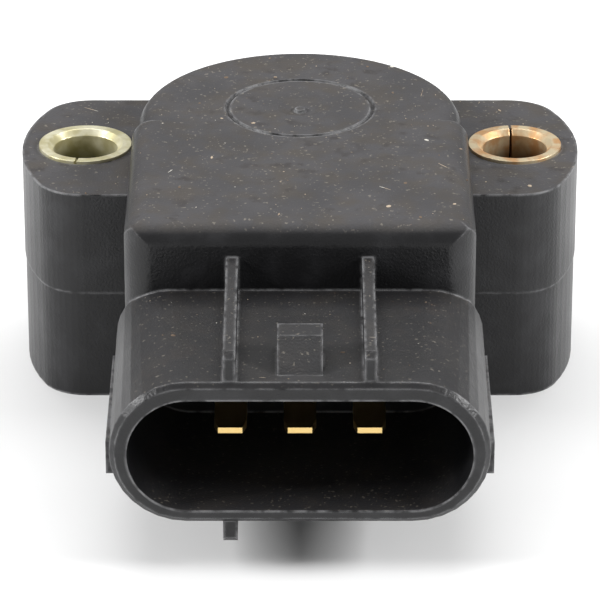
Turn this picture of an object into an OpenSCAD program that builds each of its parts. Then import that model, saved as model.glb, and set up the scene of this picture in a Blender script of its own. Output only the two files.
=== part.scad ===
// Rotary potentiometer that is screwed to a throttle body and turned by the throttle shaft.
// Frame: +Z runs up the rotor axis, -Y points out of the plug socket, +X to the right ear.
// The origin lies on the rotor axis in the mounting face. All sizes are in millimetres.

/* [Body] */
// Height of the dome and the front block above the mounting face
body_h = 24.3; // [23.9:0.1:26]
// Radius of the dome over the rotor
dome_r = 15; // [14.8:0.1:15.4]
// Half width of the front block
block_hw = 15.5; // [15.3:0.1:16]
// Distance from the rotor axis to the front wall
front_y = 27; // [26.5:0.1:29]
// Rounding of the upper edges
top_round = 2; // [0.8:0.1:2.4]
// Radius of the two upright front corners
front_corner = 2.5; // [1:0.1:3]
// Radius of the ring mark on the roof
ring_mark_r = 6.74; // [5:0.1:9]
// Radius of the gate dimple on the roof
gate_r = 2.1; // [1.5:0.1:3]
// Depth of the gate dimple
gate_depth = 0.4; // [0.2:0.05:0.8]

/* [Ears] */
// Distance between the two screw holes
screw_spacing = 40; // [39.6:0.1:41]
// Height of the ears
ear_h = 20.4; // [18:0.1:21.5]
// How far an ear reaches past its screw hole
ear_reach = 5.85; // [5.6:0.05:7]
// Half depth of an ear, front to back
ear_half_depth = 11.2; // [10.5:0.1:12]
// Radius of the flat curve at an ear's end
ear_end_r = 20; // [18:0.5:24]
// Radius of an ear's corners
ear_corner = 4.5; // [3:0.1:5]
// Height of the mould's parting line on the ears
ear_parting_z = 10.5; // [5:0.1:15]
// Step at the parting line
ear_step = 0.1; // [0.02:0.02:0.2]
// Wall left round the cored pockets under the ears
ear_wall = 2.2; // [1.8:0.1:2.6]

/* [Bushings] */
// Outer radius of the steel bushings
bush_r = 4.31; // [4:0.05:4.8]
// Radius of the screw holes
screw_hole_r = 3; // [2.6:0.05:3.4]
// How far the bushings stand above the ears
bush_proud = 0.3; // [0.1:0.05:0.6]
// Width of the rolled bushings' split
bush_split = 0.25; // [0.1:0.05:0.5]
// Wall of plastic round a bushing
boss_wall = 2; // [1.5:0.1:2.4]

/* [Socket] */
// How far the shroud stands out of the front wall
shroud_len = 18.7; // [16:0.1:22]
// Half width of the shroud
shroud_hw = 16.2; // [16:0.1:17]
// Height of the shroud's underside
shroud_z = 5; // [3.4:0.1:5.5]
// Height of the shroud, bottom to top
shroud_h = 13.2; // [13:0.1:14]
// Corner radius of the shroud where it meets the body
shroud_base_r = 4.7; // [3:0.1:6]
// Half width of the opening
mouth_hw = 14.7; // [13.5:0.1:14.8]
// Height of the opening
mouth_h = 10.4; // [9.6:0.1:10.6]
// Height of the opening's lowest line
mouth_z = 6.2; // [6.1:0.1:6.5]
// Rounding of the shroud's lip
lip_round = 0.45; // [0.2:0.05:0.6]
// Distance of the key ribs from the middle
rib_x = 5.95; // [4:0.05:8]
// Thickness of the key ribs
rib_t = 1.05; // [0.8:0.05:1.5]
// Height of the key ribs at the front wall
rib_back_h = 3.2; // [2.7:0.1:3.5]
// Height of the key ribs at the lip
rib_front_h = 2.6; // [2:0.1:2.7]
// Width of the latch nib
nib_w = 3.9; // [2:0.1:5]
// Height of the latch nib
nib_h = 2.2; // [1:0.1:2.5]

/* [Terminals] */
// Distance from blade to blade
blade_pitch = 5.98; // [5:0.02:7]
// Width of a blade
blade_w = 2.8; // [2.4:0.05:3]
// Thickness of a blade
blade_t = 0.8; // [0.6:0.05:0.9]
// How far the blades end behind the lip
blade_set_back = 4.7; // [3:0.1:8]
// Length of the tapered tip
blade_taper = 1.4; // [0.5:0.1:2]
// Width of the tails that go through the card
tail_w = 1.4; // [1:0.1:1.8]

/* [Rotor] */
// Radius of the shaft socket
socket_r = 4.05; // [3.8:0.01:4.3]
// Length of the round part of the shaft socket
socket_len = 5.2; // [4:0.1:6]
// Radius of the hub where the cover carries it
hub_r = 6; // [5.6:0.05:6.2]
// Radius of the hub inside the spring
spring_hub_r = 7.2; // [6.8:0.05:7.3]
// Radius of the flange
flange_r = 11; // [10.8:0.02:11.1]
// Radius of the pivot pin
pin_r = 1.5; // [1.2:0.05:1.8]
// Full turn of the rotor in degrees
travel = 95; // [60:1:100]
// Angle of the wiper at rest, from +X towards +Y
rest_angle = 42.5; // [40:0.5:50]

/* [Spring] */
// Wire radius of the return spring
wire_r = 0.4; // [0.25:0.05:0.45]
// Mean radius of the coil
coil_r = 8.3; // [8.1:0.05:8.6]
// Number of turns, and a half for the legs to face away from each other
coil_turns = 4.5; // [3.5:1:4.5]

/* [Cover] */
// Thickness of the cover plate
cover_t = 1.6; // [1.4:0.1:1.8]
// How deep the cover lies under the mounting face
cover_sink = 0.6; // [0.4:0.1:0.8]
// Section radius of the O-ring
oring_r = 0.9; // [0.7:0.05:0.95]
// Radius of the O-ring's centre line
oring_mid_r = 10.6; // [10.4:0.05:10.8]

/* [Fits] */
// Radial clearance of the running fits
run_gap = 0.05; // [0.02:0.01:0.1]
// Clearance of the cover and the card in the housing
seat_gap = 0.1; // [0.05:0.01:0.2]
// Gap that the wires keep to the tracks in the model
wiper_gap = 0.05; // [0.03:0.01:0.1]
// Gap left at each end stop
stop_gap = 0.3; // [0.2:0.05:0.5]

/* [Hidden] */
$fn = 64;

// Colours, as the photo and such products show them
black_plastic = [0.09, 0.09, 0.1];
yellow_zinc = [0.76, 0.68, 0.42];
gold_brass = [0.83, 0.68, 0.33];

// Body shells
body_wall = 2.8;
roof = 2.5;
roof_z = body_h - roof;
over = 1;
cavity_r = dome_r - body_wall;
chamber_hw = block_hw - body_wall + 0.1;
chamber_y = front_y - body_wall;
chamber_back = 3;
cover_z = cover_sink + cover_t;
cover_lap = 1.3;

// Element card and its tracks
card_t = 0.8;
card_space = 3.2;
card_top = roof_z - card_space;
card_z = card_top - card_t;
card_ledge = 1.2;
track_t = 0.1;
track_z = card_z - track_t;
track_in = 7.9;
track_out = 9.6;
ring_in = 5;
ring_out = 6.4;
pad_span = 8;
track_start = rest_angle - 8;
track_end = rest_angle + travel + 8;

// Plug socket
lip_y = front_y + shroud_len;
shroud_top = shroud_z + shroud_h;
mouth_r = mouth_h / 2;
mouth_mid = mouth_z + mouth_r;
rail_out = 0.3;
rail_h = 3;
nib_back = 7.3;
nib_flat = 2.3;
nib_foot = 1.7;
low_rib_t = 1.23;
low_rib_h = 2.15;

// Terminals
blade_z = mouth_mid + 0.1;
blade_tip_y = lip_y - blade_set_back;
tip_w = blade_w - 0.7;
tip_t = blade_t - 0.25;
bend_in = 0.6;
bead_len = 1.2;
bead_rim = 0.8;
bend_y = chamber_y - bead_len - 0.3;
bend_z = blade_z + blade_t / 2 + bend_in;
tail_y = -bend_y + bend_in + blade_t / 2;
tail_top = card_top + 0.9;
tail_gap = 0.05;
solder_h = 0.6;

// Rotor, from its mouth upwards
mouth_of_socket = cover_sink + 0.2;
socket_end = mouth_of_socket + socket_len;
slot_h = 3.2;
slot_l = 7.2;
slot_w = 3.6;
shoulder_z = cover_z + 3;
flange_z = 12.2;
flange_t = 1.6;
flange_top = flange_z + flange_t;
neck_r = 3.4;
neck_top = 16.6;
pin_low = 10.9;
pin_bore_low = 10.2;
pin_top = roof_z + 0.8;
boss_r = 3;
boss_low = 17.1;
tab_w = 2;
tab_out = 0.85;
stop_w = 1.6;
stop_in = flange_r + 0.3;
stop_h = 3;
stop_turn = (tab_w / 2 + stop_w / 2 + stop_gap) / (flange_r + 0.6) * 180 / PI;

// Wiper, in the frame that turns with its contact line
plate_t = 0.3;
plate_in = 4.6;
plate_out = 9.7;
plate_back = 5.2;
plate_front = 0.8;
finger_run = 4;
foot_len = 1.2;
weld_t = 0.45;
finger_t = 0.15;
finger_edge = 0.3;
tip_half = 0.2;
toe = 0.25;
stake_x = 7.15;
stake_r = 0.55;
stake_head_r = 0.7;
stake_head_h = 0.4;
stake_ys = [-4.3, -0.6];

// Return spring
coil_low = 6.3;
coil_high = 11.3;
coil_start = 180;
coil_steps = 16;
wire_sides = 8;
leg_out = 11.6;
leg_up = flange_top - 0.4;
leg_gap = 0.15;
anchor_in = 10.3;
anchor_w = 1.1;
anchor_h = 3.4;

// Cover, seals and washer
collar_in = spring_hub_r + 0.6;
collar_out = collar_in + 1.2;
collar_top = shoulder_z - 0.5;
groove_gap = 0.05;
groove_top = cover_z - 0.2;
dam_out = oring_mid_r + oring_r + 0.5;
dam_top = groove_top + 1.2;
washer_t = 0.4;
seal_h = 2.1;

function arc(centre, r, from, to, steps) =
    [for (i = [0:steps]) centre + r * [cos(from + (to - from) * i / steps), sin(from + (to - from) * i / steps)]];

module slab(low, high) {
    translate([0, 0, low]) linear_extrude(high - low) children();
}

// Draws a shape given in X and Z, from y_far towards -Y
module out_of_front(y_far, length) {
    translate([0, -y_far, 0]) rotate([90, 0, 0]) linear_extrude(length) children();
}

// Draws a shape given in Y and Z across the whole width
module across(width) {
    translate([-width / 2, 0, 0]) rotate([90, 0, 90]) linear_extrude(width) children();
}

module sector(r_in, r_out, from, to) {
    steps = ceil((to - from) / 5);
    polygon(concat(arc([0, 0], r_out, from, to, steps), arc([0, 0], r_in, to, from, steps)));
}

module both_sides() {
    children();
    mirror([1, 0, 0]) children();
}

module rounded_box(hw, low, high, r) {
    translate([-hw + r, low]) square([2 * (hw - r), high - low]);
    translate([-hw, low + r]) square([2 * hw, high - low - 2 * r]);
    for (x = [-hw + r, hw - r], z = [low + r, high - r])
        translate([x, z]) circle(r = r);
}

// Upper edges are rounded, and the outline runs below the base
module rounded_top(from, to, high, r, round_from, round_to) {
    left = round_from ? r : 0;
    right = round_to ? r : 0;
    translate([from, 0]) square([to - from, high - r]);
    translate([from + left, 0]) square([to - from - left - right, high]);
    if (round_from) translate([from + r, high - r]) circle(r = r);
    if (round_to) translate([to - r, high - r]) circle(r = r);
}

module block_plan() {
    translate([-block_hw, -front_y + front_corner]) square([2 * block_hw, front_y - front_corner - chamber_back]);
    translate([-block_hw + front_corner, -front_y]) square([2 * (block_hw - front_corner), front_corner * 2]);
    for (x = [-1, 1])
        translate([x * (block_hw - front_corner), -front_y + front_corner]) circle(r = front_corner);
}

module block_solid() {
    intersection() {
        slab(0, body_h) block_plan();
        across(2 * block_hw + 2) rounded_top(-front_y, 0, body_h, top_round, true, false);
        out_of_front(0, front_y + 1) rounded_top(-block_hw, block_hw, body_h, top_round, true, true);
    }
}

module dome_solid() {
    rotate_extrude() {
        square([dome_r, body_h - top_round]);
        square([dome_r - top_round, body_h]);
        translate([dome_r - top_round, body_h - top_round]) circle(r = top_round);
    }
}

module ear_outline(inset) {
    end_x = screw_spacing / 2 + ear_reach - ear_end_r;
    corner_y = ear_half_depth - ear_corner;
    corner_x = end_x + sqrt(pow(ear_end_r - ear_corner, 2) - pow(corner_y, 2));
    turn = atan2(corner_y, corner_x - end_x);
    root_x = dome_r * 0.6;
    polygon(concat(
        [[root_x, -ear_half_depth + inset]],
        arc([corner_x, -corner_y], ear_corner - inset, -90, -turn, 8),
        arc([end_x, 0], ear_end_r - inset, -turn, turn, 12),
        arc([corner_x, corner_y], ear_corner - inset, turn, 90, 8),
        [[root_x, ear_half_depth - inset]]
    ));
}

module ear_solid() {
    slab(ear_parting_z, ear_h) ear_outline(0);
    slab(0, ear_parting_z) ear_outline(ear_step);
}

// Cored pockets before and behind the bushing, open at the mounting face
module ear_pockets() {
    slab(-over, ear_h - ear_wall * 1.4) difference() {
        intersection() {
            ear_outline(ear_wall);
            translate([block_hw + ear_wall - 0.4, -ear_half_depth]) square([ear_reach * 2, 2 * ear_half_depth]);
        }
        translate([screw_spacing / 2, 0]) circle(r = bush_r + boss_wall);
        translate([block_hw, -bush_r]) square([ear_reach * 2, 2 * bush_r]);
    }
}

module shroud_solid() {
    hull() {
        out_of_front(front_y - 1, 1) rounded_box(shroud_hw, shroud_z, shroud_top, shroud_base_r, $fn = 32);
        out_of_front(lip_y - lip_round - 0.1, 0.1)
            rounded_box(shroud_hw, shroud_z, shroud_top, shroud_h / 2 - 0.01, $fn = 32);
        out_of_front(lip_y - 0.1, 0.1)
            rounded_box(shroud_hw - lip_round, shroud_z + lip_round, shroud_top - lip_round,
                shroud_h / 2 - lip_round - 0.01, $fn = 32);
    }
    both_sides() translate([shroud_hw - 1, -lip_y + 1, mouth_mid - rail_h * 0.7])
        cube([1 + rail_out, shroud_len - 2, rail_h]);
}

module key_ribs() {
    both_sides() translate([rib_x, 0, 0]) across(rib_t) polygon([
        [-front_y + 1, shroud_top - 1],
        [-front_y + 1, shroud_top + rib_back_h],
        [-lip_y + 1.2, shroud_top + rib_front_h],
        [-lip_y + 0.5, shroud_top + rib_front_h - 0.5],
        [-lip_y + 0.5, shroud_top - 1]
    ]);
    translate([-rib_x, 0, 0]) across(low_rib_t) polygon([
        [-front_y + 1, shroud_z + 1],
        [-front_y + 1, shroud_z - low_rib_h],
        [-lip_y + 1, shroud_z - low_rib_h],
        [-lip_y + 0.5, shroud_z - low_rib_h + 0.5],
        [-lip_y + 0.5, shroud_z + 1]
    ]);
}

module latch_nib() {
    across(nib_w) polygon([
        [-lip_y + nib_back, shroud_top - 0.5],
        [-lip_y + nib_back, shroud_top + nib_h],
        [-lip_y + nib_back - nib_flat, shroud_top + nib_h],
        [-lip_y + nib_foot, shroud_top],
        [-lip_y + nib_foot, shroud_top - 0.5]
    ]);
}

// The space inside, as a round room over the rotor and a square one at the terminals
module room_outline(shrink) {
    circle(r = cavity_r - shrink);
    translate([-chamber_hw + shrink, -chamber_y + shrink])
        square([2 * (chamber_hw - shrink), chamber_y - chamber_back - shrink]);
}

module inner_space() {
    slab(-over, cover_z) room_outline(-cover_lap - seat_gap);
    slab(0, card_top) room_outline(0);
    slab(card_top - 0.1, roof_z) room_outline(card_ledge);
}

module blade_slots() {
    for (i = [-1:1])
        translate([i * blade_pitch - blade_w / 2, -front_y - 1, blade_z - blade_t / 2])
            cube([blade_w, body_wall + 2, blade_t]);
}

module roof_marks() {
    translate([0, 0, body_h - 0.2]) rotate_extrude() translate([ring_mark_r - 0.2, 0]) square([0.4, over]);
    dish_r = (gate_r * gate_r + gate_depth * gate_depth) / (2 * gate_depth);
    difference() {
        translate([0, 0, body_h + dish_r - gate_depth]) sphere(r = dish_r);
        cylinder(r = 0.5, h = body_h - 0.1);
    }
}

// Ribs in the round room: two end stops and the fork that holds the spring's lower leg
module room_ribs() {
    for (a = [rest_angle - stop_turn, rest_angle + travel + stop_turn])
        rotate([0, 0, a]) translate([stop_in, -stop_w / 2, flange_z - 0.7])
            cube([cavity_r - stop_in + 0.4, stop_w, stop_h]);
    for (side = [-1, 1])
        translate([-cavity_r - 0.4, side * (wire_r + leg_gap + anchor_w / 2) - anchor_w / 2, coil_low - anchor_h / 2])
            cube([cavity_r - anchor_in + 0.4, anchor_w, anchor_h]);
}

module housing() {
    color(black_plastic) difference() {
        union() {
            difference() {
                union() {
                    block_solid();
                    dome_solid();
                    both_sides() ear_solid();
                    shroud_solid();
                    key_ribs();
                    latch_nib();
                }
                inner_space();
                both_sides() ear_pockets();
                out_of_front(front_y, shroud_len + over) rounded_box(mouth_hw, mouth_z, mouth_z + mouth_h, mouth_r - 0.01);
            }
            room_ribs();
            translate([0, 0, boss_low]) cylinder(r = boss_r, h = roof_z - boss_low + 0.5);
        }
        both_sides() translate([screw_spacing / 2, 0, -over]) cylinder(r = bush_r, h = ear_h + 2 * over);
        translate([0, 0, boss_low - over]) cylinder(r = pin_r, h = pin_top - boss_low + over);
        blade_slots();
        roof_marks();
    }
}

// Rolled steel sleeve with a split seam and flared rims
module bushing(seam) {
    flare = 0.5;
    high = ear_h + bush_proud;
    difference() {
        cylinder(r = bush_r, h = high);
        translate([0, 0, -over]) cylinder(r = screw_hole_r, h = high + 2 * over);
        translate([0, 0, high - flare]) cylinder(r1 = screw_hole_r, r2 = screw_hole_r + flare + 0.01, h = flare + 0.01);
        rotate([0, 0, seam]) translate([screw_hole_r - over, -bush_split / 2, -over])
            cube([bush_r, bush_split, high + 2 * over]);
    }
}

module left_bushing() {
    color(yellow_zinc) translate([-screw_spacing / 2, 0, 0]) bushing(-100);
}

module right_bushing() {
    color(yellow_zinc) translate([screw_spacing / 2, 0, 0]) bushing(94);
}

// Flat blade with a tapered tip, bent up to a tail that goes through the card
module terminal(place) {
    color(gold_brass) translate([place * blade_pitch, 0, 0]) {
        intersection() {
            slab(blade_z - blade_t, blade_z + blade_t) polygon([
                [-blade_w / 2, -bend_y], [-blade_w / 2, -blade_tip_y + blade_taper],
                [-tip_w / 2, -blade_tip_y], [tip_w / 2, -blade_tip_y],
                [blade_w / 2, -blade_tip_y + blade_taper], [blade_w / 2, -bend_y]
            ]);
            across(blade_w) polygon([
                [-bend_y, blade_z + blade_t / 2], [-blade_tip_y + 0.8, blade_z + blade_t / 2],
                [-blade_tip_y, blade_z + tip_t / 2], [-blade_tip_y, blade_z - tip_t / 2],
                [-blade_tip_y + 0.8, blade_z - blade_t / 2], [-bend_y, blade_z - blade_t / 2]
            ]);
        }
        translate([-tail_w / 2, -bend_y, bend_z]) rotate([90, 0, 90]) rotate([0, 0, -90])
            rotate_extrude(angle = 90) translate([bend_in, 0]) square([blade_t, tail_w]);
        translate([-tail_w / 2, tail_y - blade_t / 2, bend_z]) cube([tail_w, blade_t, tail_top - bend_z]);
    }
}

module element_card() {
    color([0.16, 0.3, 0.2]) slab(card_z, card_top) difference() {
        room_outline(seat_gap);
        circle(r = boss_r + 0.3);
        for (i = [-1:1])
            translate([i * blade_pitch, tail_y]) square([tail_w + 2 * tail_gap, blade_t + 2 * tail_gap], center = true);
    }
}

module resistive_track() {
    color([0.12, 0.12, 0.12]) slab(track_z, card_z) sector(track_in, track_out, track_start, track_end);
}

module tail_pad(place) {
    difference() {
        translate([place * blade_pitch, tail_y]) circle(r = 1.5);
        translate([place * blade_pitch, tail_y]) square([tail_w + 2 * tail_gap, blade_t + 2 * tail_gap], center = true);
    }
}

// Lead from one end of the carbon arc, round the rim and down to an outer terminal
module end_lead(start, turn) {
    lead_w = 0.8;
    rim_r = 10.5;
    lead_y = tail_y + 3;
    sector(track_in, track_out, start, start + pad_span);
    sector(track_out - 0.1, rim_r + lead_w, start + pad_span - 4, start + pad_span);
    sector(rim_r, rim_r + lead_w, start + pad_span - 4, turn);
    translate([-rim_r - lead_w, lead_y]) square([lead_w, -lead_y]);
    translate([-rim_r - lead_w, lead_y]) square([rim_r + lead_w - blade_pitch + lead_w / 2, lead_w]);
    difference() {
        translate([-blade_pitch - lead_w / 2, tail_y]) square([lead_w, 3 + lead_w / 2]);
        translate([-blade_pitch, tail_y]) circle(r = 1.4);
    }
    tail_pad(-1);
}

module conductor_tracks() {
    color([0.75, 0.75, 0.72]) slab(track_z, card_z) {
        sector(ring_in, ring_out, track_start, 273);
        difference() {
            translate([-0.4, tail_y]) square([0.8, -tail_y - ring_in - 0.1]);
            translate([0, tail_y]) circle(r = 1.4);
        }
        tail_pad(0);
        end_lead(track_end, 181);
        mirror([1, 0, 0]) end_lead(180 - track_start, 181);
    }
}

module solder_joints() {
    color([0.7, 0.71, 0.72])
        for (i = [-1:1])
            translate([i * blade_pitch, tail_y, card_top]) difference() {
                cylinder(r1 = 1.2, r2 = 0.9, h = solder_h);
                translate([-tail_w / 2, -blade_t / 2, -over]) cube([tail_w, blade_t, solder_h + 2 * over]);
            }
}

module terminal_sealant() {
    color([0.2, 0.16, 0.12])
        for (i = [-1:1])
            translate([i * blade_pitch, -chamber_y, blade_z]) difference() {
                translate([-blade_w / 2 - bead_rim, 0, -blade_t / 2 - bead_rim])
                    cube([blade_w + 2 * bead_rim, bead_len, blade_t + 2 * bead_rim]);
                translate([-blade_w / 2, -over, -blade_t / 2]) cube([blade_w, bead_len + 2 * over, blade_t]);
            }
}

module pivot_pin() {
    color([0.7, 0.7, 0.72]) translate([0, 0, pin_low]) cylinder(r = pin_r, h = pin_top - pin_low);
}

module rotor() {
    color([0.8, 0.78, 0.72]) difference() {
        union() {
            translate([0, 0, mouth_of_socket]) cylinder(r = hub_r, h = shoulder_z - mouth_of_socket + 0.5);
            translate([0, 0, shoulder_z]) cylinder(r = spring_hub_r, h = flange_z - shoulder_z + 0.5);
            translate([0, 0, flange_z]) cylinder(r = flange_r, h = flange_t);
            translate([0, 0, flange_top - 0.5]) cylinder(r = neck_r, h = neck_top - flange_top + 0.5);
            rotate([0, 0, rest_angle]) {
                translate([flange_r - 1, -tab_w / 2, flange_z]) cube([1 + tab_out, tab_w, flange_t]);
                for (y = stake_ys) translate([stake_x, y, flange_top - 0.5]) {
                    cylinder(r = stake_r, h = 0.5 + plate_t + 0.1);
                    translate([0, 0, 0.5 + plate_t]) cylinder(r = stake_head_r, h = stake_head_h);
                }
            }
        }
        translate([0, 0, mouth_of_socket - over]) cylinder(r = socket_r, h = socket_len + over);
        translate([-slot_l / 2, -slot_w / 2, socket_end - 0.1]) cube([slot_l, slot_w, slot_h + 0.1]);
        translate([0, 0, pin_bore_low]) cylinder(r = pin_r + run_gap, h = neck_top);
        rotate([0, 0, coil_start + 360 * coil_turns])
            translate([coil_r, 0, flange_z - over]) cylinder(r = wire_r + 0.2, h = leg_up - flange_z + over + 0.1);
    }
}

module wiper_plate() {
    color([0.72, 0.72, 0.7]) rotate([0, 0, rest_angle]) slab(flange_top, flange_top + plate_t) difference() {
        translate([plate_in, -plate_back]) square([plate_out - plate_in, plate_back + plate_front]);
        for (y = stake_ys) translate([stake_x, y]) circle(r = stake_r + 0.03);
    }
}

// Stamped comb that is welded to the plate: three fingers rise to their track and end in a turned-down toe
module brush(r_in, r_out) {
    low = flange_top + plate_t;
    foot = low + weld_t / 2;
    tip = track_z - wiper_gap;
    finger_w = (r_out - r_in - 2 * finger_edge) / 5;
    side = [
        [-finger_run - foot_len / 2, foot],
        [-finger_run, foot],
        [-tip_half, tip - finger_t],
        [tip_half, tip - finger_t],
        [tip_half + toe, tip - finger_t - toe],
        [tip_half + toe + finger_t, tip - toe],
        [tip_half, tip],
        [-tip_half, tip],
        [-finger_run, foot + finger_t],
        [-finger_run - foot_len / 2, foot + finger_t]
    ];
    color([0.85, 0.72, 0.45]) rotate([0, 0, rest_angle]) {
        for (k = [0:2]) translate([r_in + finger_edge + 2 * k * finger_w, 0, 0])
            rotate([90, 0, 90]) linear_extrude(finger_w) polygon(side);
        translate([r_in + finger_edge / 2, -finger_run - foot_len, low])
            cube([r_out - r_in - finger_edge, foot_len, weld_t]);
    }
}

module track_brush() {
    brush(track_in, track_out);
}

module collector_brush() {
    brush(ring_in, ring_out);
}

function coil_frame(k) =
    let (a = coil_start + 360 * coil_turns * k, climb = (coil_high - coil_low) / (2 * PI * coil_r * coil_turns))
    [[coil_r * cos(a), coil_r * sin(a), coil_low + (coil_high - coil_low) * k],
     [cos(a), sin(a), 0],
     [sin(a) * climb, -cos(a) * climb, 1] / norm([1, climb])];

function wire_ring(frame) =
    [for (s = [0:wire_sides - 1]) let (b = 360 * s / wire_sides)
        frame[0] + wire_r * (cos(b) * frame[1] + sin(b) * frame[2])];

// A leg is mitred to the coil: its frame turns about Z at the foot and about the radius at the head
function spring_frames() =
    let (
        steps = ceil(coil_turns * coil_steps),
        a = coil_start,
        b = coil_start + 360 * coil_turns,
        foot = [cos(a), sin(a), 0],
        foot_run = [-sin(a), cos(a), 0],
        head = [cos(b), sin(b), 0],
        head_run = [-sin(b), cos(b), 0],
        up = [0, 0, 1]
    )
    concat(
        [[leg_out * foot + coil_low * up, foot_run, up],
         [coil_r * foot + coil_low * up, foot_run + foot, up]],
        [for (i = [1:steps - 1]) coil_frame(i / steps)],
        [[coil_r * head + coil_high * up, head, up - head_run],
         [coil_r * head + leg_up * up, head, -head_run]]
    );

module return_spring() {
    frames = spring_frames();
    rings = len(frames) - 1;
    last = rings * wire_sides;
    color([0.62, 0.63, 0.65]) polyhedron(
        points = [for (f = frames) each wire_ring(f)],
        faces = concat(
            [[for (s = [wire_sides - 1:-1:0]) s]],
            [[for (s = [0:wire_sides - 1]) last + s]],
            [for (i = [0:rings - 1], s = [0:wire_sides - 1]) let (t = (s + 1) % wire_sides)
                [i * wire_sides + s, i * wire_sides + t, (i + 1) * wire_sides + t, (i + 1) * wire_sides + s]]
        ));
}

module thrust_washer() {
    color([0.85, 0.84, 0.8]) translate([0, 0, collar_top + run_gap]) difference() {
        cylinder(r = collar_out - 0.2, h = washer_t);
        translate([0, 0, -over]) cylinder(r = hub_r + 0.15, h = washer_t + 2 * over);
    }
}

module cover_plate() {
    color([0.13, 0.13, 0.14]) difference() {
        union() {
            slab(cover_sink, cover_z) room_outline(-cover_lap);
            translate([0, 0, cover_sink]) cylinder(r = collar_out, h = collar_top - cover_sink);
            translate([0, 0, cover_sink]) cylinder(r = dam_out, h = dam_top - cover_sink);
        }
        translate([0, 0, cover_sink - over]) cylinder(r = hub_r + run_gap, h = collar_top + over);
        translate([0, 0, cover_z]) cylinder(r = collar_in, h = collar_top);
        translate([0, 0, -over]) rotate_extrude()
            translate([oring_mid_r - oring_r - groove_gap, 0]) square([2 * (oring_r + groove_gap), groove_top + over]);
    }
}

module shaft_seal() {
    color([0.1, 0.1, 0.1]) translate([0, 0, cover_z]) difference() {
        cylinder(r = collar_in - 0.05, h = seal_h);
        translate([0, 0, -over]) cylinder(r = hub_r + run_gap, h = seal_h + 2 * over);
    }
}

module mounting_seal() {
    color([0.3, 0.1, 0.07]) translate([0, 0, groove_top - oring_r - 0.02])
        rotate_extrude() translate([oring_mid_r, 0]) circle(r = oring_r);
}

housing();
left_bushing();
right_bushing();
terminal(-1);  // terminal_1
terminal(0);  // terminal_2
terminal(1);  // terminal_3
element_card();
resistive_track();
conductor_tracks();
solder_joints();
terminal_sealant();
pivot_pin();
rotor();
wiper_plate();
track_brush();
collector_brush();
return_spring();
thrust_washer();
cover_plate();
shaft_seal();
mounting_seal();
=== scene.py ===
# %% [markdown]
# # A rotary throttle potentiometer
# The part is a black moulded case with two screw ears, steel bushings and a plug socket. Its solids come
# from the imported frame, so this script only gives them their finish, the dirt that lies on them, a plain
# studio and the camera of the photograph.

import math

import bpy
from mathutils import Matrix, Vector


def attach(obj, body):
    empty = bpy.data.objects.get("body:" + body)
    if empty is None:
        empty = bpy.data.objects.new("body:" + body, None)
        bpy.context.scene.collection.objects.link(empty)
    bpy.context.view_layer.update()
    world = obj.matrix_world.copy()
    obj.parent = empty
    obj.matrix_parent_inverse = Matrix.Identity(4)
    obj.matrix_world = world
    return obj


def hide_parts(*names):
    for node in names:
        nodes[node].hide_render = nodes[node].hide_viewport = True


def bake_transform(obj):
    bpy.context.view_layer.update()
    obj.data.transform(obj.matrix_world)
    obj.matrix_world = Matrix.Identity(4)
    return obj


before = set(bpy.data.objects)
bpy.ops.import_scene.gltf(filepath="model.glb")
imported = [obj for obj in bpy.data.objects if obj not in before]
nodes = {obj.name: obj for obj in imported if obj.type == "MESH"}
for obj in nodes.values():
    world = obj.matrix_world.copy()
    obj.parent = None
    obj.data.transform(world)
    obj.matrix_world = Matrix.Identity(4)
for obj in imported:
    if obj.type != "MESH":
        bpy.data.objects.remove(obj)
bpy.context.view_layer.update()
MM = 0.001

# %% [markdown]
# ## The camera
# The photograph was taken from a little above, straight towards the plug socket, with a long lens: the
# rim of each bushing is an ellipse whose shape gives the pitch, and the spacing of the screw holes against
# the spacing of the blades gives the distance.

# %% Place the camera
PHOTO_SIZE = 600
SENSOR = 36
PITCH = math.radians(25.17)
DISTANCE = 400 * MM
FOCAL_PIXELS = 4356
AIM = Vector((0, -11.57, 10)) * MM

camera_data = bpy.data.cameras.new("photo_camera")
camera = bpy.data.objects.new("photo_camera", camera_data)
bpy.context.scene.collection.objects.link(camera)
camera.location = AIM + DISTANCE * Vector((0, -math.cos(PITCH), math.sin(PITCH)))
camera.rotation_euler = (math.pi / 2 - PITCH, 0, 0)
camera_data.sensor_width = SENSOR
camera_data.lens = SENSOR * FOCAL_PIXELS / PHOTO_SIZE
camera_data.clip_start = 10 * MM
scene = bpy.context.scene
scene.camera = camera
scene.render.resolution_x = PHOTO_SIZE
scene.render.resolution_y = PHOTO_SIZE
scene.view_settings.view_transform = "Standard"
print("lens:", round(camera_data.lens, 1), "mm")

# %% [markdown]
# ## Shader maths as Python
# A finish is easier to read as `dust * 0.6 + grain` than as a list of linked nodes. `Value` wraps one
# socket and adds a Math node for each operator. `Finish` owns one material and adds every other node.


# %% Helpers for materials
# A face counts as looking up between these two values of its normal's Z
FACES_UP = (0.55, 0.95)


class Value:
    """One output socket, with the arithmetic of numbers."""

    def __init__(self, finish, socket):
        self.finish = finish
        self.socket = socket

    def _math(self, operation, first, second):
        return self.finish.node("Math", {"operation": operation}, {0: first, 1: second})

    def __add__(self, other):
        return self._math("ADD", self, other)

    def __radd__(self, other):
        return self._math("ADD", other, self)

    def __sub__(self, other):
        return self._math("SUBTRACT", self, other)

    def __rsub__(self, other):
        return self._math("SUBTRACT", other, self)

    def __mul__(self, other):
        return self._math("MULTIPLY", self, other)

    def __rmul__(self, other):
        return self._math("MULTIPLY", other, self)

    def __pow__(self, other):
        return self._math("POWER", self, other)

    def over(self, low, high):
        """0 up to low, 1 from high on, and a smooth step between."""
        settings = {"interpolation_type": "SMOOTHSTEP"}
        return self.finish.node("MapRange", settings, {"Value": self, "From Min": low, "From Max": high})


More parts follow.
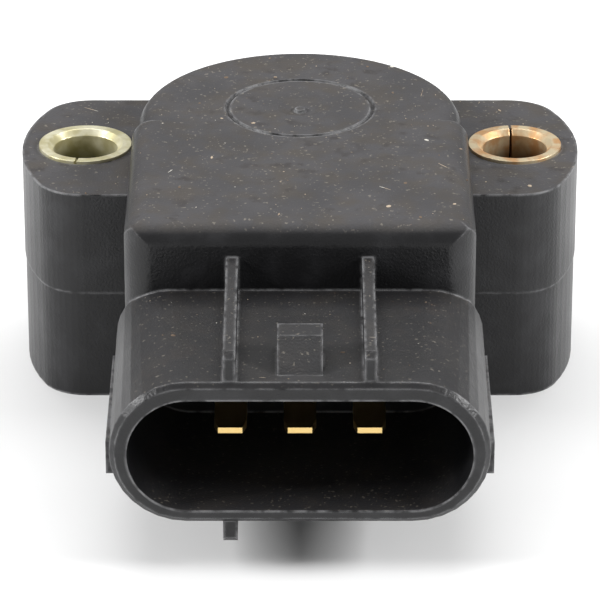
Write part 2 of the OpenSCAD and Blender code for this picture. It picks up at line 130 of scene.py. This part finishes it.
class Finish:
    """A material on Object coordinates, in metres."""

    def __init__(self, name):
        self.material = bpy.data.materials.new(name)
        self.material.use_nodes = True
        self.tree = self.material.node_tree
        self.shader = self.tree.nodes["Principled BSDF"]
        coordinates = self.tree.nodes.new("ShaderNodeTexCoord")
        self.place = Value(self, coordinates.outputs["Object"])
        facing = self.node("SeparateXYZ", {}, {0: Value(self, coordinates.outputs["Normal"])}, "Z")
        self.upward = facing.over(*FACES_UP)

    def node(self, kind, settings, inputs, output=0):
        made = self.tree.nodes.new("ShaderNode" + kind)
        for key, value in settings.items():
            setattr(made, key, value)
        for key, value in inputs.items():
            self.feed(made.inputs[key], value)
        return Value(self, made.outputs[output])

    def feed(self, socket, value):
        if isinstance(value, Value):
            self.tree.links.new(value.socket, socket)
        else:
            socket.default_value = value

    def axis(self, letter):
        return self.node("SeparateXYZ", {}, {0: self.place}, letter)

    def noise(self, size, detail=3, stretch=(1, 1, 1)):
        """Noise whose features are about size millimetres across."""
        place = self.place
        if stretch != (1, 1, 1):
            place = self.node("Mapping", {}, {"Vector": place, "Scale": stretch})
        return self.node("TexNoise", {}, {"Vector": place, "Scale": 1 / (size * MM), "Detail": detail})

    def blend(self, factor, first, second):
        made = self.tree.nodes.new("ShaderNodeMix")
        made.data_type = "RGBA"
        self.feed(made.inputs["Factor"], factor)
        colours = [i for i in made.inputs if i.type == "RGBA"]
        for socket, colour in zip(colours, (first, second)):
            self.feed(socket, colour if isinstance(colour, Value) else (*colour, 1))
        return Value(self, [o for o in made.outputs if o.type == "RGBA"][0])

    def done(self, colour, roughness, height=None, depth=0.02, edge=0.0, metallic=0.0, specular=0.5):
        self.feed(self.shader.inputs["Base Color"], colour)
        self.feed(self.shader.inputs["Roughness"], roughness)
        self.feed(self.shader.inputs["Metallic"], metallic)
        self.feed(self.shader.inputs["Specular IOR Level"], specular)
        normal = None
        if edge:
            normal = self.node("Bevel", {"samples": 6}, {"Radius": edge * MM})
        if height is not None:
            inputs = {"Height": height, "Distance": depth * MM}
            if normal is not None:
                inputs["Normal"] = normal
            normal = self.node("Bump", {}, inputs)
        if normal is not None:
            self.feed(self.shader.inputs["Normal"], normal)
        return self.material


def wear(node_names, material):
    for name in node_names:
        slots = nodes[name].data.materials
        slots.clear()
        slots.append(material)


# %% [markdown]
# ## The black case
# The case is moulded in a black plastic filled with glass fibre. Fresh faces are near black and half
# glossy. Faces that look up have caught fine grey-brown dust, which is thicker in smudges and thinner
# along edges, where fingers wiped it off. So dust follows the direction that a face looks in. The shroud in
# front keeps less of it, and its darker top is also painted shade for the front wall's shadow and
# reflection.
# Edges are painted pale grey: partly rubbed wear, partly a painted highlight.

# %% Case finish
BLACK = (0.009, 0.009, 0.01)
WORN_GREY = (0.022, 0.022, 0.024)
GREY_DUST = (0.056, 0.054, 0.057)
BROWN_DUST = (0.057, 0.05, 0.044)
SMUDGE = (0.03, 0.026, 0.025)
SCUFF_AND_HIGHLIGHT = (0.2, 0.2, 0.205)
PALE_SPECK = (0.3, 0.27, 0.22)
EDGE_RADIUS = 0.45
FRONT_Y = 27

case = Finish("case_plastic")
grain = case.noise(0.22, 2)
cloud = case.noise(5.5, 5)
patch = case.noise(1.6, 4)
drift = case.noise(3.0, 4)
speckle = case.noise(0.35, 1).over(0.66, 0.74)
dust_colour = case.blend(drift.over(0.4, 0.7), GREY_DUST, BROWN_DUST)
# Painted shade: in front of the body only 0.3 of the dust is laid, so the shroud's top stays darker. This is
# thinner dust and also stands in for the front wall's shadow and reflection on it.
behind_front = case.axis("Y").over(-(FRONT_Y + 0.5) * MM, -(FRONT_Y - 0.5) * MM)
dust_and_shroud_shade = case.upward * (0.3 + 0.7 * behind_front)
dust_cover_and_shade = dust_and_shroud_shade * (0.72 + 0.28 * cloud.over(0.3, 0.62))
smudges = case.upward * patch.over(0.54, 0.68) * cloud.over(0.4, 0.6) * 0.75
bare = case.blend(drift.over(0.45, 0.7) * 0.7, BLACK, WORN_GREY)
dusted_and_shaded = case.blend(dust_cover_and_shade, bare, dust_colour)
smudged = case.blend(smudges, dusted_and_shaded, SMUDGE)

# An edge is where the rounded normal differs from the face's own. Edges are painted pale grey: partly rubbed
# wear, partly a painted highlight.
rounded = case.node("Bevel", {"samples": 8}, {"Radius": EDGE_RADIUS * MM})
own = case.node("NewGeometry", {}, {}, "True Normal")
match = case.node("VectorMath", {"operation": "DOT_PRODUCT"}, {0: rounded, 1: own}, "Value")
scuffs_and_highlights = (1 - match).over(0.004, 0.09) * case.noise(1.1, 4).over(0.3, 0.62) * 0.85
scuffed_and_highlit = case.blend(scuffs_and_highlights, smudged, SCUFF_AND_HIGHLIGHT)
case_colour = case.blend(speckle * case.upward * 0.35, scuffed_and_highlit, PALE_SPECK)
case_roughness = 0.32 + 0.32 * dust_and_shroud_shade + 0.1 * cloud
case_height = grain + 0.7 * patch
case_plastic = case.done(case_colour, case_roughness, case_height, 0.035, edge=0.28, specular=0.42)
wear(["housing"], case_plastic)

cover = Finish("cover_plastic")
cover_colour = cover.blend(cover.noise(2.0, 3), (0.012, 0.012, 0.013), (0.03, 0.03, 0.032))
cover_plastic = cover.done(cover_colour, 0.45 + 0.1 * cover.noise(4.0), cover.noise(0.25, 2), 0.03, edge=0.2)
wear(["cover_plate"], cover_plastic)

# %% [markdown]
# ## Yellow-passivated bushings
# The bushings are rolled from steel strip, zinc plated and passivated. The film shifts from pale
# yellow-green to gold and copper over a few millimetres, and the bore is darker, because less light
# reaches it and thread oil stains it.

# %% Bushing finish
HOLE_X = 20
HOLE_R = 3.05


def passivated(name, centre_x, first, second, bore_stain_and_shade):
    zinc = Finish(name)
    across = zinc.axis("X") - centre_x * MM
    deep = zinc.axis("Y")
    reach = (across * across + deep * deep) ** 0.5
    rim = reach.over((HOLE_R + 0.05) * MM, (HOLE_R + 0.5) * MM)
    film = zinc.noise(1.5, 3)
    plated = zinc.blend(film.over(0.35, 0.65), first, second)
    # Painted shade: the bore turns to its dark colour lower down in the hole. This is shade there, together
    # with oil marks.
    lowered = 1 - zinc.axis("Z").over(0.0165, 0.0204)
    bore = zinc.blend(lowered, plated, bore_stain_and_shade)
    colour = zinc.blend(rim, bore, plated)
    scratches = zinc.noise(0.5, 3, (1, 1, 0.1))
    return zinc.done(colour, 0.26 + 0.2 * film, scratches, 0.02, edge=0.12, metallic=0.75)


PALE_GOLD = (0.72, 0.66, 0.38)
CREAM_GOLD = (0.92, 0.88, 0.66)
OLIVE = (0.2, 0.19, 0.07)
BRASS_GOLD = (0.86, 0.72, 0.48)
COPPER = (0.7, 0.4, 0.18)
DARK_BROWN = (0.1, 0.055, 0.025)
wear(["left_bushing"], passivated("passivated_left", -HOLE_X, PALE_GOLD, CREAM_GOLD, OLIVE))
wear(["right_bushing"], passivated("passivated_right", HOLE_X, BRASS_GOLD, COPPER, DARK_BROWN))

# %% [markdown]
# ## Blades, springs and other metal
# The blades are brass, stamped across their length, so their marks run along Y. The hidden metal is
# plain steel, silver print and contact alloy, each with its own small variation.


# %% Metal finishes
def metal(name, first, second, size, stretch, roughness):
    made = Finish(name)
    streak = made.noise(size, 3, stretch)
    colour = made.blend(streak, first, second)
    return made.done(colour, roughness + 0.14 * streak, streak, 0.01, edge=0.06, metallic=1.0)


wear(
    ["terminal_1", "terminal_2", "terminal_3"],
    metal("blade_brass", (0.68, 0.47, 0.17), (0.82, 0.62, 0.28), 0.7, (1, 0.15, 1), 0.26),
)
bright_steel = metal("bright_steel", (0.42, 0.42, 0.43), (0.56, 0.56, 0.57), 0.5, (1, 1, 0.2), 0.28)
wear(["pivot_pin", "wiper_plate"], bright_steel)
wear(
    ["track_brush", "collector_brush"],
    metal("contact_alloy", (0.7, 0.58, 0.34), (0.78, 0.68, 0.45), 0.3, (1, 1, 1), 0.22),
)
wear(["conductor_tracks"], metal("silver_print", (0.5, 0.5, 0.48), (0.64, 0.64, 0.6), 0.3, (1, 1, 1), 0.5))
wear(["solder_joints"], metal("solder", (0.46, 0.47, 0.48), (0.6, 0.6, 0.6), 0.6, (1, 1, 1), 0.3))

# %% [markdown]
# ## Inner plastics and rubbers
# They are seen only from below or with the case taken apart. Each gets a base colour that drifts a
# little and a fine surface, because even clean plastic isn't one flat colour.


# %% Plain moulded finishes
def moulded(name, first, second, size, roughness, bump=0.02):
    made = Finish(name)
    drift = made.noise(size, 3)
    colour = made.blend(drift.over(0.3, 0.7), first, second)
    return made.done(colour, roughness + 0.1 * drift, made.noise(0.2, 2), bump, edge=0.1)


wear(["rotor"], moulded("rotor_plastic", (0.5, 0.47, 0.4), (0.6, 0.57, 0.5), 3.0, 0.42))
wear(["thrust_washer"], moulded("washer_plastic", (0.62, 0.6, 0.54), (0.7, 0.68, 0.62), 3.0, 0.35))
wear(["element_card"], moulded("card_laminate", (0.02, 0.07, 0.035), (0.03, 0.1, 0.05), 4.0, 0.4))
wear(["resistive_track"], moulded("carbon_print", (0.012, 0.012, 0.012), (0.02, 0.02, 0.02), 1.0, 0.6))
wear(["terminal_sealant"], moulded("sealing_compound", (0.03, 0.02, 0.014), (0.05, 0.036, 0.024), 1.5, 0.5))
wear(["shaft_seal"], moulded("black_rubber", (0.012, 0.012, 0.012), (0.022, 0.022, 0.022), 2.0, 0.55))
wear(["mounting_seal"], moulded("brown_rubber", (0.06, 0.018, 0.01), (0.09, 0.028, 0.016), 2.0, 0.5))

# %% [markdown]
# ## A copy of the return spring
# One leg of the return spring is held by the case and the other one by the rotor, so the coil twists when
# the rotor turns. A rigid coil would cut through the rotor. The spring here is a plain copy of its node in
# bright steel, which takes the place of the hidden node; it doesn't bend.

spring_mesh = nodes["return_spring"].data.copy()
spring_mesh.materials.clear()
spring_mesh.materials.append(bright_steel)
spring = bpy.data.objects.new("twisting_spring", spring_mesh)
scene.collection.objects.link(spring)
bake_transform(spring)
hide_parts("return_spring")
print("spring triangles:", len(spring_mesh.polygons))

# %% [markdown]
# ## Grit on the upper faces
# Sand-coloured and white grains lie on the faces that look up. Placing them by hand would be slow and
# would look arranged, so a Geometry Nodes tree scatters them over a copy of the case: only upward
# faces above the socket take part, and each grain is a small flattened ball half sunk in the face.
# The same tree makes three sizes: fine grit, a few sand flakes, and fibres as very long thin grains.

# %% Grit material
grit = Finish("grit")
pick = grit.noise(2.2, 1)
sand = grit.blend(pick.over(0.42, 0.5), (0.13, 0.09, 0.06), (0.42, 0.34, 0.25))
grit_material = grit.done(grit.blend(pick.over(0.58, 0.62), sand, (0.62, 0.6, 0.54)), 0.8 - 0.1 * pick)


# %% Scatter tree
STEEPEST = 0.75
SIZE_SEED = 3
TURN_SEED = 5


def grit_tree():
    tree = bpy.data.node_groups.new("scatter_grit", "GeometryNodeTree")
    sockets = {}
    tree.interface.new_socket("Geometry", in_out="INPUT", socket_type="NodeSocketGeometry")
    for name in ("Density", "Grain", "Lowest"):
        item = tree.interface.new_socket(name, in_out="INPUT", socket_type="NodeSocketFloat")
        sockets[name] = item.identifier
    for name in ("Smallest", "Largest"):
        item = tree.interface.new_socket(name, in_out="INPUT", socket_type="NodeSocketVector")
        sockets[name] = item.identifier
    item = tree.interface.new_socket("Seed", in_out="INPUT", socket_type="NodeSocketInt")
    sockets["Seed"] = item.identifier
    tree.interface.new_socket("Geometry", in_out="OUTPUT", socket_type="NodeSocketGeometry")

    def add(kind, **settings):
        made = tree.nodes.new(kind)
        for key, value in settings.items():
            setattr(made, key, value)
        return made

    def link(source, target):
        tree.links.new(source, target)

    start = add("NodeGroupInput")
    end = add("NodeGroupOutput")
    facing = add("ShaderNodeSeparateXYZ")
    link(add("GeometryNodeInputNormal").outputs[0], facing.inputs[0])
    upward = add("FunctionNodeCompare", data_type="FLOAT", operation="GREATER_THAN")
    upward.inputs["B"].default_value = STEEPEST
    link(facing.outputs["Z"], upward.inputs["A"])
    place = add("ShaderNodeSeparateXYZ")
    link(add("GeometryNodeInputPosition").outputs[0], place.inputs[0])
    high = add("FunctionNodeCompare", data_type="FLOAT", operation="GREATER_THAN")
    link(place.outputs["Z"], high.inputs["A"])
    link(start.outputs["Lowest"], high.inputs["B"])
    chosen = add("FunctionNodeBooleanMath", operation="AND")
    link(upward.outputs[0], chosen.inputs[0])
    link(high.outputs[0], chosen.inputs[1])
    scatter = add("GeometryNodeDistributePointsOnFaces")
    link(start.outputs["Seed"], scatter.inputs["Seed"])
    link(start.outputs[0], scatter.inputs["Mesh"])
    link(chosen.outputs[0], scatter.inputs["Selection"])
    link(start.outputs["Density"], scatter.inputs["Density"])
    ball = add("GeometryNodeMeshIcoSphere")
    ball.inputs["Subdivisions"].default_value = 1
    link(start.outputs["Grain"], ball.inputs["Radius"])
    size = add("FunctionNodeRandomValue", data_type="FLOAT_VECTOR")
    vectors = [i for i in size.inputs if i.type == "VECTOR"]
    link(start.outputs["Smallest"], vectors[0])
    link(start.outputs["Largest"], vectors[1])
    size.inputs["Seed"].default_value = SIZE_SEED
    turn = add("FunctionNodeRandomValue", data_type="FLOAT_VECTOR")
    angles = [i for i in turn.inputs if i.type == "VECTOR"]
    angles[0].default_value = (0, 0, 0)
    angles[1].default_value = (0, 0, 2 * math.pi)
    turn.inputs["Seed"].default_value = TURN_SEED
    grains = add("GeometryNodeInstanceOnPoints")
    link(scatter.outputs["Points"], grains.inputs["Points"])
    link(ball.outputs["Mesh"], grains.inputs["Instance"])
    link([o for o in size.outputs if o.type == "VECTOR"][0], grains.inputs["Scale"])
    link([o for o in turn.outputs if o.type == "VECTOR"][0], grains.inputs["Rotation"])
    real = add("GeometryNodeRealizeInstances")
    link(grains.outputs[0], real.inputs[0])
    paint = add("GeometryNodeSetMaterial")
    paint.inputs["Material"].default_value = grit_material
    link(real.outputs[0], paint.inputs["Geometry"])
    link(paint.outputs[0], end.inputs[0])
    return tree, sockets


# %% Scatter the grit
LOWEST = 17.8
GRIT_KINDS = {
    "fine_grit": {
        "Density": 60000.0,
        "Grain": 0.11,
        "Smallest": (0.25, 0.2, 0.1),
        "Largest": (1.1, 0.8, 0.4),
        "Seed": 7,
    },
    "sand_flakes": {
        "Density": 11000.0,
        "Grain": 0.28,
        "Smallest": (0.4, 0.3, 0.1),
        "Largest": (1.2, 0.9, 0.3),
        "Seed": 12,
    },
    "fibres": {
        "Density": 3500.0,
        "Grain": 0.05,
        "Smallest": (6, 0.5, 0.4),
        "Largest": (22, 0.8, 0.6),
        "Seed": 23,
    },
}
scatter_group, sockets = grit_tree()


def scatter_kind(name, settings):
    base = bpy.data.objects.new(name + "_base", nodes["housing"].data.copy())
    scene.collection.objects.link(base)
    modifier = base.modifiers.new("grit", "NODES")
    modifier.node_group = scatter_group
    modifier[sockets["Lowest"]] = LOWEST * MM
    for key, value in settings.items():
        modifier[sockets[key]] = value * MM if key == "Grain" else value
    depsgraph = bpy.context.evaluated_depsgraph_get()
    mesh = bpy.data.meshes.new_from_object(base.evaluated_get(depsgraph))
    bpy.data.objects.remove(base)
    piece = bpy.data.objects.new(name, mesh)
    scene.collection.objects.link(piece)
    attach(piece, "case")
    print(name, "triangles:", len(mesh.polygons))


for kind, settings in GRIT_KINDS.items():
    scatter_kind(kind, settings)

# %% [markdown]
# ## Studio
# A pale floor takes the shadow. Large soft lamps stand on both sides and above, because the photograph
# shows long soft highlights on both shoulders and on the front edge of the roof.

# %% Floor and lamps
FLOOR = 1.5
floor_mesh = bpy.data.meshes.new("floor")
corners = [(-FLOOR, -FLOOR, 0), (FLOOR, -FLOOR, 0), (FLOOR, FLOOR, 0), (-FLOOR, FLOOR, 0)]
floor_mesh.from_pydata(corners, [], [(0, 1, 2, 3)])
floor = bpy.data.objects.new("floor", floor_mesh)
scene.collection.objects.link(floor)
floor_finish = Finish("pale_floor")
floor_tone = floor_finish.blend(floor_finish.noise(60, 2), (0.86, 0.86, 0.86), (0.9, 0.9, 0.9))
floor_mesh.materials.append(floor_finish.done(floor_tone, 0.8, specular=0.1))


LAMP_ASPECT = 0.7


def soft_lamp(name, place, width, power):
    data = bpy.data.lights.new(name, "AREA")
    data.shape = "RECTANGLE"
    data.size = width
    data.size_y = width * LAMP_ASPECT
    data.energy = power
    lamp = bpy.data.objects.new(name, data)
    scene.collection.objects.link(lamp)
    lamp.location = place
    lamp.rotation_euler = (AIM - Vector(place)).to_track_quat("-Z", "Y").to_euler()


soft_lamp("lamp_above", (0.0, 0.25, 0.6), 0.5, 2.0)
soft_lamp("lamp_left", (-0.5, -0.1, 0.3), 0.22, 3.4)
soft_lamp("lamp_right", (0.5, -0.1, 0.3), 0.22, 3.4)
world = bpy.data.worlds.new("studio")
scene.world = world
world.use_nodes = True
world.node_tree.nodes["Background"].inputs["Color"].default_value = (1, 1, 1, 1)
world.node_tree.nodes["Background"].inputs["Strength"].default_value = 0.35
